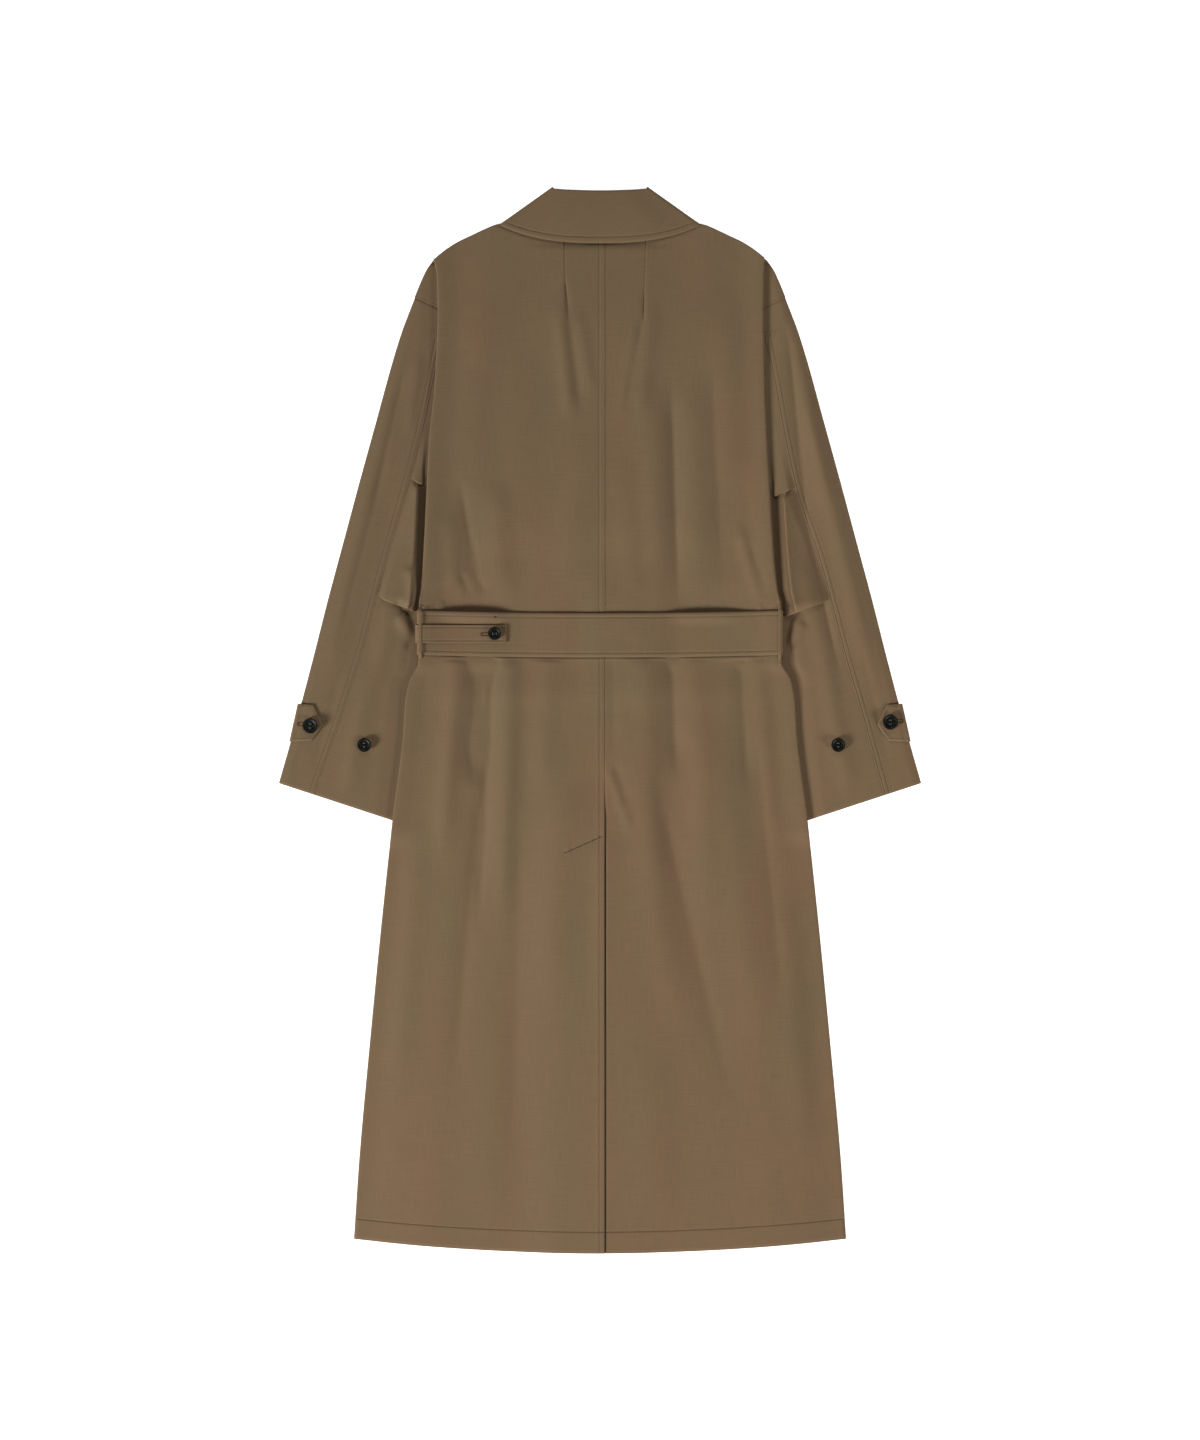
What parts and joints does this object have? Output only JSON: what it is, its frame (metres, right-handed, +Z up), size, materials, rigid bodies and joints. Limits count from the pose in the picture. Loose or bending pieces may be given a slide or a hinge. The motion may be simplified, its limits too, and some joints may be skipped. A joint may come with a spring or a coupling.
{
  "type": "trench coat",
  "caption": "Long belted trench coat laid flat with its back up: two-piece sleeves with pointed cuff tabs, fold-over collar, back vent, waist belt with a buttoned strap.",
  "frame": {"origin": "middle of the coat's outline, on the surface it lies on", "axes": "+X to the viewer's right across the coat, +Y towards the collar, +Z up out of the coat's back"},
  "size_m": [0.738, 1.2244, 0.0165],
  "materials": {
    "shell_cloth": "tightly woven cotton blend with a faint sheen, khaki brown",
    "buttons": "moulded resin, near black, satin polish"
  },
  "bodies": {
    "root": {"back_left": "shell_cloth", "back_right": "shell_cloth", "front_left": "shell_cloth", "front_right": "shell_cloth", "sleeve_top_left": "shell_cloth", "sleeve_top_right": "shell_cloth", "sleeve_under_left": "shell_cloth", "sleeve_under_right": "shell_cloth", "collar_fall": "shell_cloth", "collar_stand": "shell_cloth", "belt": "shell_cloth", "belt_strap": "shell_cloth", "belt_loop_left": "shell_cloth", "belt_loop_right": "shell_cloth", "cuff_tab_left": "shell_cloth", "cuff_tab_right": "shell_cloth", "button_belt": "buttons", "button_tab_left": "buttons", "button_tab_right": "buttons", "button_cuff_left": "buttons", "button_cuff_right": "buttons"}
  },
  "joints": []
}
